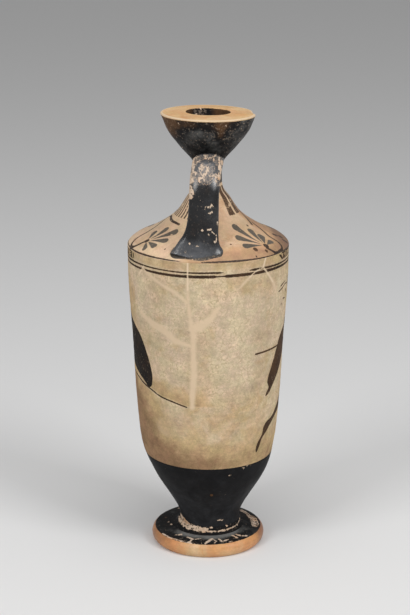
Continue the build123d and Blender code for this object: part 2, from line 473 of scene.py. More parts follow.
def paint_runner(brush, x, level, tone, cloak, legs, muscles, shift, lift):
    """A figure running in a short dress and a cloak, with scratched lines, turned away from the handle."""
    dress = [
        (31.5, 146), (37, 147.5), (42, 145), (44.3, 139), (43.6, 131), (41.5, 123), (42.5, 115), (46, 106),
        (47.5, 100.5), (41, 98.5), (34, 99.5), (28.5, 102), (30.5, 110), (32, 119), (31, 128), (29.5, 137),
        (29.8, 143)]
    head = [
        (34.6, 151.2), (33.4, 154.4), (34.4, 158), (37.4, 159.9), (40.6, 159.2), (42.2, 157), (42.5, 155.2),
        (43.7, 153.5), (42.6, 152.6), (42.6, 151.2), (41.6, 149.6), (39.4, 149.2), (37.4, 149.6)]
    limbs = [
        [(37, 146, 2.4), (37.5, 148, 2.1), (37.8, 150.5, 2)],
        [(33.8, 153.8, 1.9), (32.8, 152.8, 1.9), (32.2, 151.6, 1.4)],
        [(42, 142.5, 2.6), (46.5, 138, 2.1), (50, 135.8, 1.8), (54, 138.2, 1.4), (57.5, 140.8, 1),
         (60.4, 142.4, 0.4)],
        [(57.2, 140.6, 0.9), (58, 142.4, 0.6), (58.5, 144, 0.35)],
        [(32.5, 142.5, 2.6), (27.5, 136.5, 2.2), (24.6, 131, 1.9), (26.2, 126.5, 1.5), (28.4, 122.8, 1.3)]]
    scratches = [
        [(30.4, 125.6), (36, 124.6), (42.2, 125.4)], [(30.6, 123.6), (36, 122.6), (41.8, 123.4)],
        [(28.6, 103.6), (35, 101.2), (41, 100.3), (47, 102.2)], [(33.2, 121.5), (33.4, 112), (32.2, 103)],
        [(36, 121), (37, 111), (36.6, 102)], [(38.8, 121), (40.6, 111), (41.2, 101.5)],
        [(33.4, 144.5), (34.6, 136), (34, 127)], [(37.6, 146), (38.4, 137), (37.6, 126.5)],
        [(41.4, 144), (41.8, 136), (40.4, 127)], [(30.6, 144.6), (30.2, 138), (31.6, 128)],
        [(34.4, 155.6), (38, 156.6), (42, 156.2)], [(36.6, 152), (37.2, 154), (36.8, 156)],
        [(40.2, 154.2), (41.2, 154.5)], [(34.8, 148.9), (37.4, 148.2), (40.2, 148.6)],
        [(26.5, 138.5), (23, 131), (22.4, 124)], [(29, 134), (27.4, 125), (23.6, 117.6)]]
    inner, raised = x - shift, level - lift
    brush.put(region(x, level, cloak), tone)
    for outline in (dress, head):
        brush.put(region(inner, raised, outline), tone)
    for course in limbs:
        brush.put(limb(inner, raised, course), tone)
    for course in legs:
        brush.put(limb(x, level, course), tone)
    for points in scratches:
        brush.scratch(line(inner, raised, spline(points, 12), fold_half))
    for points in muscles:
        brush.scratch(line(inner, level, spline(points, 12), muscle_half))


def paint_figures(brush, azimuth, level):
    """The brown runner with a spear right of the handle, and the black one with a staff left of it."""
    x = along(azimuth, right_figure)
    cloak = [
        (20.7, 131.6), (13.8, 127.3), (10.1, 122.3), (7.2, 116.6), (4.1, 111.1), (1.4, 106), (1, 102.6),
        (2.5, 100), (0.9, 97.6), (-0.3, 95.2), (2.6, 95.9), (5.7, 98.6), (8.9, 101.6), (13.8, 105.8),
        (19, 111), (26, 117), (32, 124), (34, 136), (31, 146), (26, 140)]
    legs = [
        [(37, 106, 6), (33, 98, 5.4), (27.5, 89.5, 3.9), (24, 85, 3)],
        [(26.5, 88, 3.6), (20, 84, 2.9), (14.7, 82, 2), (9.5, 79.2, 1.7), (4.6, 77.2, 2.5)],
        [(4.6, 77.2, 2.5), (3, 76, 2.8), (1.4, 73.9, 1.9), (-0.2, 71.8, 1.1), (-2.4, 69, 1.2),
         (-3.9, 65.8, 1.5), (-4.6, 63, 0.7)],
        [(38, 105, 6), (44, 99, 5.3), (49.5, 92, 3.8)],
        [(49.5, 92, 3.6), (52.8, 83, 3), (52.3, 73, 1.8), (51.3, 65, 1.3)],
        [(50.2, 62.6, 1.5), (54, 62, 1.2), (58.5, 61, 0.6)]]
    muscles = [
        [(46.8, 98.6), (49.8, 94), (51.4, 90.6)], [(48.2, 91.4), (49.6, 90), (51.2, 90.2)],
        [(52.6, 86.5), (53.6, 82), (52.6, 76.5)], [(34.6, 97.6), (31, 92.6), (28.4, 88)],
        [(27.2, 87.2), (25.6, 85.4), (23.6, 85.6)], [(50.6, 66.4), (51.6, 66), (52.4, 66.6)]]
    paint_runner(brush, x, level, thin_brown, cloak, legs, muscles, 0, 0)
    brush.put(line(x, level, spear, spear_half), thin_brown)
    brush.put(stroke(x, level, spear[-1], spear_tip, 1.0, 0.1), thin_brown)

    x = -along(azimuth, left_figure)
    cloak = [
        (20.5, 135), (14.2, 132), (9.9, 128.8), (6.7, 124.4), (3.8, 118.9), (1.8, 113.8), (0.4, 108.8),
        (0.4, 105.2), (1.4, 101.8), (2.6, 100.6), (8.3, 102.5), (13.2, 104.6), (18.8, 106.6), (27.7, 109.4),
        (34, 113), (38, 120), (39, 134), (36, 147), (29, 141)]
    legs = [
        [(40, 106, 6), (36, 97, 5.2), (34.4, 88, 4), (35, 80, 3.4), (31.5, 71, 2), (29.4, 65.4, 1.4)],
        [(29.2, 63.4, 1.5), (32.5, 61.9, 1.2), (36, 61.2, 0.6)],
        [(43, 105, 6), (50, 97.5, 5), (54.5, 90, 3.7), (56.8, 81, 3), (56.6, 72, 1.9), (55.8, 65, 1.35)],
        [(55.2, 62.8, 1.5), (59, 62, 1.2), (63, 61.1, 0.6)]]
    muscles = [
        [(35.4, 97.6), (34, 92.4), (33.6, 88.2)], [(32.2, 88), (33.4, 86.8), (35, 87.2)],
        [(33.2, 83), (32.6, 78.6), (30.4, 74)], [(49.4, 96.4), (51.8, 92.6), (53, 89.4)],
        [(51.4, 89.6), (52.6, 88.4), (54.2, 88.8)], [(53.6, 84), (54, 79), (53, 74)]]
    paint_runner(brush, x, level, solid_black, cloak, legs, muscles, left_shift, left_lift)
    brush.put(line(x, level, staff, staff_halves), staff_brown)


def paint_plants(brush, azimuth, level):
    """A palmette tree opposite the handle, and a leafy branch beside each figure."""
    x = along(azimuth, tree_angle)
    brush.put(line(x, level, [(0, 58), (0.6, 90), (-0.4, 128)], (1.0, 0.7)), dense_black)
    for height, size in ((84, 13), (108, 12), (130, 13)):
        for lean in range(-75, 76, 25):
            turn = math.radians(lean)
            length = size * (1.1 - 0.004 * abs(lean))
            root = (2 * math.sin(turn), height + 2 * math.cos(turn))
            tip = (length * math.sin(turn), height + length * math.cos(turn))
            brush.put(stroke(x, level, root, tip, 0.3, 1.35), dense_black)
        for way in (-1, 1):
            volute = [(0, -3, 0.5), (3.4, -4.2, 0.5), (6.2, -2.2, 0.5), (5.4, 0.2, 0.5), (3.9, -1, 0.7)]
            brush.put(limb(way * x, level - height, volute), dense_black)

    twig = [(-0.2, 154.2, 0.38), (3.4, 154.9, 0.36), (9, 156.4, 0.32), (14.5, 156, 0.28), (20, 158.5, 0.25)]
    leaves = (
        (4.1, 145.9, 0.5, 0.5), (6.4, 148.6, 3.2, -0.4), (2.2, 156.8, 6, 1.4), (10.6, 152.8, 1.8, -2),
        (13, 158.6, 2.6, 1.8), (16.8, 154.6, 2.4, -1.6))
    for middle, way in ((61, 1), (-84, -1)):
        x = way * along(azimuth, middle)
        brush.put(limb(x, level, twig), line_brown)
        for px, pz, dx, dz in leaves:
            brush.put(stroke(x, level, (px, pz), (px + dx, pz + dz), 0.5, 0.25), line_brown)


def paint_wall(surface, outside):
    """Lines, band, figures, plants, mends, stains and painted shade of the pale wall."""
    azimuth, level = surface.azimuth[outside], surface.z[outside]
    brush = Brush(len(level), line_brown)
    paint_lines(brush, azimuth, level)
    paint_figures(brush, azimuth, level)
    paint_plants(brush, azimuth, level)

    mends = [
        [(-14.1, 176.4, -0.3), (-14.2, 163, 0.2), (-13.6, 151, 0.5), (-12.5, 143.5, 0.9), (-10.7, 136, 1.5),
         (-10.8, 126, 1.4), (-10.6, 112, 1.6), (-12, 101, 1.5), (-12.4, 93.5, 1)],
        [(-11.5, 139.2, 1.8), (-6.4, 140.6, 2.7), (-2.3, 142.2, 1.8), (2.5, 145.8, 1.3), (4.9, 149, 0.9),
         (7.4, 151.5, 0.2)],
        [(-11.5, 128.6, 0.6), (-14.1, 129.6, 0.8), (-24.6, 131.4, 1.4), (-33.9, 136.3, 1.9),
         (-45.7, 139.2, 1.7), (-57.7, 143, 1)],
        [(-14, 153.5, 0.5), (-23.4, 159, 0.6), (-48.2, 167.2, 0.6), (-52.1, 169, 0.6)],
        [(-52.1, 168.2, 0.3), (-63.9, 160.2, 0)],
        [(44, 176.5, -0.2), (41.5, 171, 0.2), (34.4, 169.4, 0.3), (29.7, 166.7, 0.1), (25.3, 164, 0),
         (18.6, 158.7, -0.6)],
        [(41.5, 171, 0.2), (47.4, 165.7, 0.2), (53, 160.3, 0.3), (58.5, 152.1, 0.3)]]
    fine_joints = [
        [(-14.1, 176.4), (-14.2, 169), (-14.2, 161)], [(30, 167), (34.4, 169.4), (41.5, 171), (44, 176.5)],
        [(41.5, 171), (47.4, 165.7), (52, 161.3)], [(-51, 170.5), (-53.5, 168), (-57, 165)]]
    spread = [(-42, 86), (-30, 89.5), (-13, 91), (-11, 84), (-14, 76), (-27, 72.6), (-43, 73), (-48, 80)]
    x = along(azimuth, 0)
    joined = np.full(azimuth.shape, FAR)
    for course in mends:
        joined = np.maximum(joined, trail(x, level, unrolled(course, ARC)))
    for points in fine_joints:
        joined += 5 * rises(line(x, level, unrolled(points, ARC), 0.2), -0.25, 0.15)
    thin_filler = np.minimum(0.25 * region(x, level, unrolled(spread, ARC)) - 1.5, -0.75)
    joined = np.maximum(joined, thin_filler)

    right_side = flank(azimuth, -12, 22)
    above_staff = level - np.interp(-along(azimuth, left_figure), *np.transpose(staff))
    stain = 0.3 * flank(-azimuth, 60, 85) + 0.25 * flank(-azimuth, 48, 66) * falls(level, 154, 164)
    # darker and browner towards the bottom: partly brown staining, partly painted shade where the wall turns
    # under
    stain += 0.46 * falls(level, 80, 108) * (1 - 0.1 * right_side)
    stain += 0.5 * falls(level, 58, 76) * (1 - 0.3 * right_side)
    stain += 0.43 * flank(-azimuth, 28, 56) * falls(above_staff, -2, 0)
    ochre = 0.5 * rises(above_staff, 0, 1.5) * falls(above_staff, 3, 18) * flank(-azimuth, -12, 8)
    stain += ochre * (1 - 0.7 * flank(-azimuth, 44, 60))
    dark_corner = 0.3 * flank(-azimuth, 20, 34) * falls(level, 65, 75)
    stain += dark_corner * (1 - flank(-azimuth, 54, 64))
    whitest = 0.42 * flank(azimuth, -2, 12) * (1 - flank(azimuth, 30, 42))
    stain -= whitest * rises(level, 94, 104) * falls(level, 148, 160)
    top_band = 0.36 * rises(level, 170.8, 172.5)
    surface.fill(outside, ink=brush.ink, tone=brush.tone, mend=joined, stain=stain + top_band,
                 wear=0.14 + 0.62 * rises(joined, -0.5, 0.3))


# Shoulder: level of the tongues' upper ends, and hearts of the palmettes as angle and radius
tongue_top = 209.5
right_heart, left_heart, back_heart = (51.7, 39.9), (-62, 38), (180, 38.5)


def paint_tongues(brush, azimuth, radius, level):
    """Bars down from the neck to the slope, but not behind the handle: broad ones right, thin ones left."""
    for number, share, start, way, low, tone in ((16, 0.36, 40, 1, 194.6, bar_brown),
                                                 (45, 0.22, 32, -1, 193.2, thin_brown)):
        phase = ((np.abs(azimuth) - start) / 360 * number) % 1 - 0.5
        bars = (share - np.abs(phase)) * 2 * np.pi * radius / number
        ends = np.minimum(level - low, tongue_top - level)
        brush.put(np.where(way * azimuth > start, np.minimum(bars, ends), FAR), tone)


def paint_palmette(brush, x, y, turn, heart, tips):
    """Leaves that spread from a heart to their tips, each with its greatest half width."""
    middle = plan(heart[0] + turn, heart[1])
    for angle, radius, half in tips:
        tip = plan(angle + turn, radius)
        root = [m + (t - m) * 0.22 for m, t in zip(middle, tip)]
        # the leaves' grey tone is a painted sheen on their gloss
        brush.put(stroke(x, y, root, tip, 0.1, half), leaf_painted_sheen)
    brush.put(dot(x, y, middle, heart_half), line_brown)


def paint_shoulder(surface, outside):
    """Palmettes joined by tendrils, dots, tongues, the edge line and the black about the handle's root."""
    x, y, level = surface.x[outside], -surface.y[outside], surface.z[outside]
    azimuth, radius = surface.azimuth[outside], surface.radius[outside]
    brush = Brush(len(level), line_brown)
    paint_tongues(brush, azimuth, radius, level)
    brush.put(edge_line(azimuth, level), line_brown)

    right_tips = [
        (39.3, 23.6, 2.1), (33.1, 30.3, 2), (33.4, 36.9, 2), (56.5, 28, 2), (60.6, 33.2, 2.2),
        (62, 38.6, 1.7)]
    left_tips = [
        (-69.5, 31.5, 1.7), (-58.5, 27.3, 1.9), (-42, 27.3, 2.1), (-43.5, 34, 2), (-48, 39.4, 1.8),
        (-54.5, 42.2, 1.5)]
    back_tips = [
        (180, 24.5, 2), (168, 26.5, 2), (192, 26.5, 2), (161, 31.5, 2), (199, 31.5, 2), (160, 37.5, 1.6),
        (200, 37.5, 1.6)]
    right_loop = [
        (81.3, 24.9), (75.8, 31.4), (70.7, 35.7), (69.7, 39.8), (68, 43.2), (66.2, 44.1), (60.8, 44.7),
        (55.7, 44.7), (53.8, 43.9), (50.3, 41.3)]
    right_link = [(89.1, 17.5), (82.3, 21.3), (73.7, 25)]
    left_loop = [
        (-44.9, 22.4), (-55.8, 21.9), (-69.5, 21.5), (-84.2, 20.6), (-95, 21.6), (-96, 24), (-90.3, 26.2),
        (-84.5, 31.4), (-81.5, 35.8), (-79.4, 40), (-76.2, 43), (-73.8, 44.1), (-69.1, 43.9), (-66.2, 42.6),
        (-63.9, 40.5), (-62.9, 39)]
    right = (right_heart, right_tips, (right_loop, right_link))
    left = (left_heart, left_tips, (left_loop,))
    back = (back_heart, back_tips, ())
    for turn, (heart, tips, tendrils) in ((0, right), (76, right), (0, left), (-66, left), (0, back)):
        paint_palmette(brush, x, y, turn, heart, tips)
        for points in tendrils:
            course = spline([plan(angle + turn, r) for angle, r in points], 5 * len(points))
            brush.put(line(x, y, course, tendril_halves), line_brown)
    dots = [(-35.5, 40, 0.5, 0.5), (20.8, 34.2, 0.55, 1), (35.9, 44.1, 0.5, 0.5), (47.4, 42.6, 0.95, 0.9),
        (38.9, 40.4, 1.35, 1), (61.9, 24.4, 0.7, 0.6), (82.1, 37.2, 1.6, 0.6), (84.6, 40.1, 1.5, 0.6)]
    for angle, r, half, tone in dots:
        brush.put(dot(x, y, plan(angle, r), half), tone)
    brush.put(stroke(x, y, plan(80.7, 41.9), plan(82.7, 43.7), 0.8, 0.8), solid_black)
    root = [
        (-22, 30), (-26, 33), (-28.3, 36), (-29.3, 39.5), (-29, 42), (-27.2, 43.6), (-20, 44.2), (-12, 44.3),
        (-2, 44.3), (5, 43.2), (10.2, 42), (11.5, 39.7), (8, 34), (2, 30)]
    # the black about the handle's root carries a grey painted sheen
    brush.put(region(x, y, [plan(*point) for point in root]), root_painted_sheen)

    worn_edge = near(azimuth, -8, 6, 12) * rises(radius, 42.6, 43.8)
    # painted highlight: paler clay along the shoulder's corner on the left
    edge_highlight = flank(-azimuth, 5, 30) * rises(radius, 41.8, 43.4)
    # painted highlight: the left side of the shoulder paler and less stained
    lit_left_side = flank(-azimuth, 12, 32)
    stain = 0.12 + 0.62 * rises(radius, 32, 43) * (1 - 0.75 * lit_left_side)
    # painted shade: darker clay on the far right of the shoulder; painted highlight lightens the left
    stain += 0.6 * flank(azimuth, 62, 84) - 0.8 * edge_highlight - 0.5 * lit_left_side
    surface.fill(outside, ink=brush.ink, tone=brush.tone, stain=stain,
                 wear=0.18 + 0.2 * worn_edge + 0.12 * rises(level, 193, 196))


# Finish
def lead(tree, value, socket):
    """Sets a socket of a node, by a link where the value comes from another node."""
    if isinstance(value, Value):
        tree.links.new(value.socket, socket)
    else:
        socket.default_value = value


def add_node(tree, kind, inputs, output=0, **settings):
    """One output of a new node, as a value."""
    node = tree.nodes.new("ShaderNode" + kind)
    for key, value in settings.items():
        setattr(node, key, value)
    for key, value in inputs.items():
        lead(tree, value, node.inputs[key])
    return Value(tree, node.outputs[output])


class Value:
    """A number, place or colour in a material's node tree, worked on by further nodes."""

    def __init__(self, tree, socket):
        self.tree = tree
        self.socket = socket

    def math(self, operation, *parts):
        return add_node(self.tree, "Math", dict(enumerate(parts)), operation=operation)

    def __add__(self, other):
        return self.math("ADD", self, other)

    def __mul__(self, other):
        return self.math("MULTIPLY", self, other)

    def __rsub__(self, other):
        return self.math("SUBTRACT", other, self)

    def minimum(self, other):
        return self.math("MINIMUM", self, other)

    def maximum(self, other):
        return self.math("MAXIMUM", self, other)

    def swing(self, amount, middle=0.0):
        """A noise that swings by an amount about a middle."""
        return self.math("MULTIPLY_ADD", self, amount, middle - amount / 2)

    def vector(self, operation, inputs, output=0):
        """A vector or its length, worked out from this and the other inputs."""
        return add_node(self.tree, "VectorMath", {0: self, **inputs}, output, operation=operation)

    def noise(self, scale, detail, roughness=0.5, distortion=0.0, output="Fac"):
        """Cloudy noise at this place."""
        inputs = {"Vector": self, "Scale": scale, "Detail": detail, "Roughness": roughness,
                  "Distortion": distortion}
        return add_node(self.tree, "TexNoise", inputs, output)

    def rises(self, low, high, top=1.0):
        """Zero at low, top at high, smooth at both ends."""
        inputs = {"Value": self, "From Min": low, "From Max": high, "To Max": top}
        return add_node(self.tree, "MapRange", inputs, "Result", interpolation_type="SMOOTHSTEP")

    def blend(self, first, second):
        """A mix of two colours by this share."""
        sides = [side if isinstance(side, Value) else (*side, 1) for side in (first, second)]
        return add_node(self.tree, "Mix", {0: self, 6: sides[0], 7: sides[1]}, 2, data_type="RGBA")

    def level(self, first, second):
        """A mix of two numbers by this share."""
        return add_node(self.tree, "Mix", {0: self, 2: first, 3: second}, data_type="FLOAT")


black = (0.012, 0.0118, 0.0125)
brown_gloss = (0.10, 0.053, 0.027)
filler = (0.715, 0.55, 0.375)
bright_filler = (0.76, 0.63, 0.46)
olive_tint = (0.985, 1.015, 0.96)
rose_tint = (1.015, 0.975, 0.99)
crack_warp = (0.004, 0.004, 0.004)
blush_shift = (0.31, 0.17, 0.23)
flake_turn, flake_stretch = (0.5, 0.3, 0.7), (1.5, 0.75, 1)
shade_share = 0.62
bump_strength, bump_depth = 0.35, 0.00018


def painted_clay(name, pale, ground, tan, brown, chip, painted_sheen, sheen, roughness=0.6, gloss_roughness=0.5,
                 mottling=1.2, unevenness=1.6, rings=0.12, crackle=0.2):
    """Fired clay or slip with black gloss painted on it, mended, stained, flaked, and given painted light and
    shade.
    """
    material = bpy.data.materials.new(name)
    material.use_nodes = True
    tree = material.node_tree
    place = add_node(tree, "TexCoord", {}, "Object")
    ink, tone, wear, bare, mend, stain = [add_node(tree, "Attribute", {}, "Fac", attribute_name=field)
                                          for field in ("ink", "tone", "wear", "bare", "mend", "stain")]

    # clay: broad clouds of colour, stains with painted light and shade, a mottle at all finer scales, rings
    # of the wheel, pits and crackle
    clouds = place.noise(32, 2)
    drift = place.noise(70, 5, 0.62, 0.5)
    blush = place.vector("ADD", {1: blush_shift}).noise(120, 4, 0.7)
    mottle = place.noise(85, 8, 0.95)
    crumbs = place.noise(800, 5, 0.68)
    specks = place.noise(900, 3, 0.6)
    radius = place.vector("MULTIPLY", {1: (1, 1, 0)}).vector("LENGTH", {}, "Value")
    inputs = {"W": radius + add_node(tree, "SeparateXYZ", {0: place}, "Z"), "Scale": 700, "Detail": 3}
    wheel = add_node(tree, "TexNoise", inputs, "Fac", noise_dimensions="1D")
    stained = stain + drift.swing(1.1)
    # a stain below zero makes the clay paler; on the shoulder this is painted highlight
    paler = stain.minimum(0.0) * 0.4
    colour = (clouds + paler).rises(0.39, 0.64).blend(pale, ground)
    colour = (drift + paler).rises(0.48, 0.68, 0.65).blend(colour, tan)
    colour = stained.rises(0.1, 0.6).blend(colour, tan)
    colour = stained.rises(0.5, 1.15).blend(colour, brown)
    colour = colour.vector("MULTIPLY", {1: blush.rises(0.36, 0.64).blend(olive_tint, rose_tint)})
    for factor in (mottle.swing(mottling, 1.0), wheel.swing(rings, 1.0)):
        colour = colour.vector("SCALE", {"Scale": factor})
    shade = tuple(shade_share * part for part in tan)
    colour = specks.rises(0.64, 0.74, 0.4).blend(colour, shade)
    bent = place.noise(260, 3, output="Color").vector("MULTIPLY_ADD", {1: crack_warp, 2: place})
    edges = add_node(tree, "TexVoronoi", {"Vector": bent, "Scale": 330}, "Distance",
                     feature="DISTANCE_TO_EDGE")
    broken = crumbs.rises(0.44, 0.56) * mottle.rises(0.42, 0.56) * stain.rises(0.5, 0.2)
    colour = (edges.rises(0.13, 0.0, crackle) * broken).blend(colour, shade)

    # filler in the mended joints, brightest in their middle, and the pale colour of the mouth's rim edge,
    # partly wear, partly painted highlight
    filled = mend + drift.swing(3.0)
    colour = filled.rises(-1.3, 0.8, 0.9).blend(colour, filler)
    colour = filled.rises(2.2, 4.0, 0.8).blend(colour, bright_filler)

    # gloss: painted shapes with a brush's edge, less where it has flaked or chipped off, greyed by a painted
    # sheen where the tone is below zero
    skew = add_node(tree, "Mapping", {"Vector": place, "Rotation": flake_turn, "Scale": flake_stretch})
    flaked = (skew.noise(330, 8, 0.72, 0.4).swing(2.2) + wear).rises(0.46, 0.56)
    lost = flaked.maximum((bare.minimum(0.3) + crumbs.swing(3.2)).rises(-0.12, 0.12))
    inside = (ink + specks.swing(0.5)).rises(-0.1, 0.1)
    painted = inside * (1 - lost)
    colour = (inside * lost).blend(colour, blush.rises(0.50, 0.72, 0.8).blend(chip, tan))
    thin_and_sheen = tone + blush.swing(unevenness)
    gloss = thin_and_sheen.rises(0.0, 1.0).blend(black, brown_gloss)
    # a tone below zero mixes the gloss toward its grey painted sheen
    gloss = thin_and_sheen.rises(0.0, -1.0).blend(gloss, painted_sheen)
    gloss = gloss.vector("SCALE", {"Scale": mottle.swing(2.0, 1.0)})
    gloss = (crumbs.swing(2.0) + wear).rises(0.32, 0.50, 0.25).blend(gloss, chip)
    colour = painted.blend(colour, gloss)

    grain = painted.level(roughness, drift.swing(0.4, gloss_roughness))
    height = painted * 0.35 + specks * 0.25 + mottle * 0.9
    bump = add_node(tree, "Bump", {"Strength": bump_strength, "Distance": bump_depth, "Height": height})
    for socket, value in (("Base Color", colour), ("Roughness", grain), ("Normal", bump),
                          ("Specular IOR Level", sheen)):
        lead(tree, value, tree.nodes["Principled BSDF"].inputs[socket])
    return material


# The grey colour each finish gives its gloss at a tone below zero is a painted sheen
white_slip = painted_clay(
    "white_slip", pale=(0.625, 0.50, 0.35), ground=(0.565, 0.435, 0.285), tan=(0.52, 0.37, 0.205),
    brown=(0.30, 0.185, 0.105), chip=(0.60, 0.47, 0.32), painted_sheen=(0.10, 0.085, 0.065),
    sheen=0.06, roughness=0.75, gloss_roughness=0.7, mottling=2.3, unevenness=0.8, crackle=0.62)
terracotta = painted_clay(
    "terracotta", pale=(0.69, 0.50, 0.335), ground=(0.61, 0.41, 0.25), tan=(0.55, 0.335, 0.19),
    brown=(0.25, 0.145, 0.09), chip=(0.62, 0.44, 0.28), painted_sheen=(0.125, 0.105, 0.082),
    sheen=0.3, roughness=0.52, mottling=1.4, unevenness=0.8)
clay = {"pale": (0.70, 0.49, 0.275), "ground": (0.645, 0.425, 0.23), "tan": (0.60, 0.325, 0.15),
        "brown": (0.32, 0.145, 0.072), "chip": (0.67, 0.52, 0.40), "painted_sheen": (0.172, 0.17, 0.162)}
roll_colours = {**clay, "ground": (0.67, 0.395, 0.20), "tan": (0.64, 0.305, 0.125)}
taper_colours = {**clay, "chip": (0.68, 0.52, 0.39), "painted_sheen": (0.09, 0.093, 0.1)}
strap_colours = {**clay, "chip": (0.62, 0.48, 0.36), "painted_sheen": (0.085, 0.088, 0.095)}
black_gloss = painted_clay("black_gloss", **clay, sheen=0.05)
roll_clay = painted_clay("roll_clay", **roll_colours, sheen=0.25, roughness=0.34, rings=0.16)
taper_gloss = painted_clay("taper_gloss", **taper_colours, sheen=0.04, unevenness=0.5)
handle_gloss = painted_clay("handle_gloss", **strap_colours, sheen=0.55, gloss_roughness=0.2, rings=0.0)


# Foot: a disc with a rolled orange edge and a black top, chipped most toward the handle's side, with a
# painted sheen in front of the stem
foot_edge = (foot_top_radius, foot_edge_level)
roll_curve = spline([(foot_standing_radius, 0), (foot_radius, foot_roll_level), foot_edge], 30,
                    (1, 0.7), (-1, 0.5))
foot_section = chain(
    (0, foot_hollow_depth),
    straight((hub_radius, foot_hollow_depth), (foot_hollow_radius - foot_hollow_slope, foot_hollow_depth), 4),
    straight((foot_hollow_radius, 0), (foot_standing_radius, 0), 4), roll_curve,
    spline([foot_edge, foot_top_middle, (ring_spread, ring_seat)], 50),
    straight((ring_spread, ring_seat), (stem_radius, ring_seat), 3),
    (stem_radius, stem_base), (hub_radius, stem_base), (0, stem_base))
foot = turned(foot_section, foot_columns, False)
foot_chips = [
    [(-45, 26.2, 0.4), (-43.8, 25.7, 0.32)], [(-42, 25, 0.72), (-39.5, 24, 0.72)],
    [(-29, 25, 0.4), (-20, 26, 0.64)], [(-19.5, 26.2, 0.64), (-21, 29.6, 0.72)],
    [(-16, 26, 0.28), (-10, 24.6, 0.24)], [(-3, 29.4, 0.72), (5, 25, 0.88)],
    [(5.2, 24.6, 0.32), (10, 27.4, 0.32), (7, 29.6, 0.32)],
    [(14, 25.8, 0.56), (16.7, 28.6, 0.64), (25, 27.2, 0.4)], [(35.3, 24.2, 0.48), (36.8, 27.6, 0.64)],
    [(41.4, 24.2, 0.56), (43.3, 26.7, 0.72)], [(45.6, 27.9, 0.64), (49, 29, 0.64)],
    [(-60, 30.2, 0.24), (-46, 30.4, 0.32), (-38, 30, 0.4), (-24, 30.4, 0.32), (-15, 30.6, 0.24)],
    [(-79, 21.8, 0.56), (-78, 21.8, 0.56)], [(-89.5, 22.9, 0.36), (-88.5, 22.9, 0.36)],
    [(-105.5, 25.6, 0.24), (-104.5, 25.6, 0.24)], [(24, 30, 0.32), (28.5, 29.9, 0.24)],
    [(150, 26, 0.4), (158, 28, 0.64)], [(-140, 27, 0.56), (-147, 29, 0.48)],
    [(-171, 24, 0.32), (-168, 27, 0.56)]]
foot_patch = [
    (134.7, 27.1), (128.9, 27.6), (117.8, 27.2), (101.6, 29), (92.6, 29.2), (79.3, 29), (76.6, 27.9),
    (80.5, 25.8), (93, 25.2), (106.6, 24.5), (120.2, 25.3), (132.4, 25.7)]
gloss_edge = foot_top_radius + 0.5
# tone below zero in front of the stem: a grey painted sheen on the foot's top
foot.fill(ALL, ink=np.where(foot.z > 6, gloss_edge - foot.radius, FAR),
          bare=np.minimum(region(foot.x, -foot.y, [plan(*point) for point in foot_patch]), 0.08),
          wear=0.10 + 0.08 * rises(foot.radius, 22, 28) * near(foot.azimuth, 0, 40, 80),
          tone=-1.1 * falls(foot.radius, 22, 27) * near(foot.azimuth, 5, 25, 75),
          stain=0.34 + 0.55 * flank(-foot.azimuth, 10, 70) + 0.95 * flank(foot.azimuth, 40, 88))
for course in foot_chips:
    foot.chip(trail(foot.x, -foot.y, [(*plan(angle, radius), half) for angle, radius, half in course]))
disc = make_piece("foot_disc", foot, "foot", black_gloss)
disc.data.materials.append(roll_clay)
for face in disc.data.polygons:
    face.material_index = int(math.hypot(face.center.x, face.center.y) > gloss_edge * MM)


def rub_stem(surface):
    """Gloss rubbed off about the stem: a broad patch left of the handle, a thread and flecks right of it."""
    degree = stem_radius * math.pi / 180
    middle = 30
    patch = [
        (-88, 12.6), (-79, 11.6), (-65, 11), (-51, 10.6), (-34, 10.4), (-21, 10.4), (-2, 10.8), (0.5, 11.8),
        (-8, 12.6), (-23, 12.8), (-41, 13.2), (-48, 13.8), (-55, 14.6), (-66, 15.4), (-80, 15.4), (-90, 14.4)]
    flecks = [
        [(-2, 10.7, 0.35), (30, 10.6, 0.35), (65, 10.9, 0.35), (82, 12.2, 0.3)],
        [(17.8, 16.8, 0.3), (27.4, 16.8, 0.3)], [(36.3, 12.7, 0.4), (37.3, 12.7, 0.4)],
        [(5.4, 12.7, 0.4), (6.4, 12.7, 0.4)], [(140, 10.8, 0.3), (190, 11.2, 0.5), (230, 10.7, 0.3)]]
    x = along(surface.azimuth, middle) / ARC * degree + middle * degree
    surface.fill(ALL, bare=np.minimum(region(x, surface.z, unrolled(patch, degree)), 0.22))
    for course in flecks:
        surface.chip(trail(x, surface.z, unrolled(course, degree)))


# Ring of clay round the stem
inside = stem_radius + luting_gap
ring_slope = [(ring_spread, ring_seat + 0.12), (19, 9.8), (18.3, 10.9), (17.95, 12.2), (inside, ring_level)]
ring_section = chain(straight((inside, ring_seat), (ring_spread, ring_seat), 6), spline(ring_slope, 30),
                     straight((inside, ring_level), (inside, ring_seat), 4)[:-1])
ring = turned(ring_section, ring_columns, True, lean=0.7)
ring.fill(ALL, ink=COVERED, tone=0.0, wear=0.14)
rub_stem(ring)
make_piece("stem_ring_band", ring, "stem_ring", taper_gloss)

# Body: floor, black taper with a red spot, chips and a painted sheen low down, and the clay wall under the
# slip
under = wall_curve[::4] - (slip_thickness, 0)
wall_inside = wall_curve[::-8] - (slip_thickness + wall_thickness, 0)
cavity = spline([(border_radius - slip_thickness - wall_thickness, border_level),
                 (cavity_bend_radius, border_level - cavity_bend_depth), (floor_radius, floor_level)], 24)
body_section = chain((0, stem_base), (hub_radius, stem_base),
                     straight((stem_radius, stem_base), (stem_radius, stem_level), 12),
                     taper_curve, under, wall_inside, cavity, (hub_radius, floor_level), (0, floor_level))
body = turned(body_section, body_columns, False, lean=1.0)
from_spot = np.hypot((body.azimuth - 3.9) * 0.5, body.z - 37.1)
